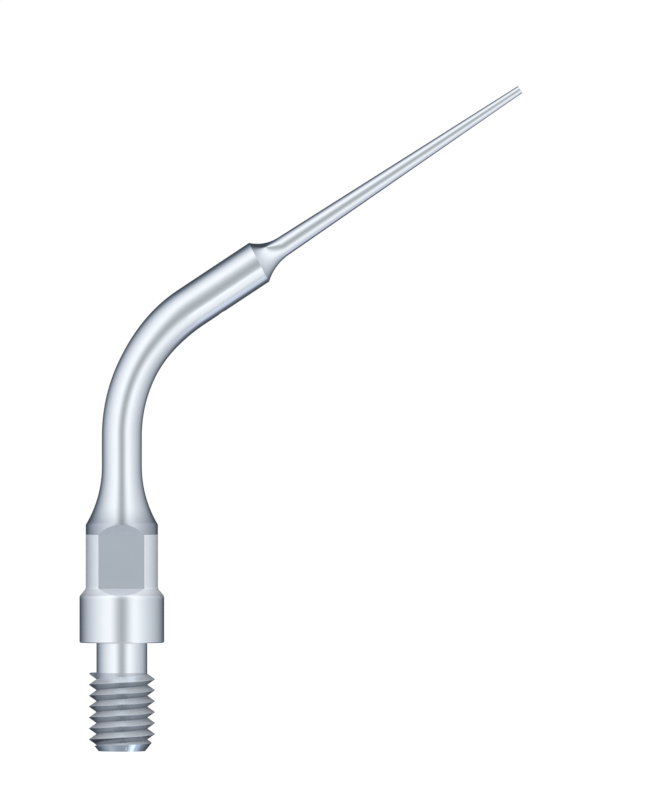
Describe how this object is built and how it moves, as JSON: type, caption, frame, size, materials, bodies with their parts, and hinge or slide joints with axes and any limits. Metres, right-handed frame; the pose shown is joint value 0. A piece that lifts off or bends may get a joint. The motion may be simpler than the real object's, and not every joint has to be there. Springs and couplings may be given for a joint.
{
  "type": "ultrasonic scaler tip",
  "caption": "Screw-on ultrasonic dental tip: a threaded steel connector with a seating collar and wrench flats, a bent hollow shank and a long slender probe.",
  "frame": {"origin": "centre of the collar's seating face, on the thread's axis", "axes": "+Z along the thread's axis towards the shank, -Z out of the seating face along the stud; the shank bends towards +X; the tip is flat about the Y = 0 plane"},
  "size_m": [0.0202, 0.0038, 0.0303],
  "materials": {
    "connector_steel": "satin",
    "shank_steel": "polished",
    "probe_steel": "polished"
  },
  "bodies": {
    "root": {"connector": "connector_steel", "bent_shank": "shank_steel", "probe": "probe_steel"}
  },
  "joints": []
}
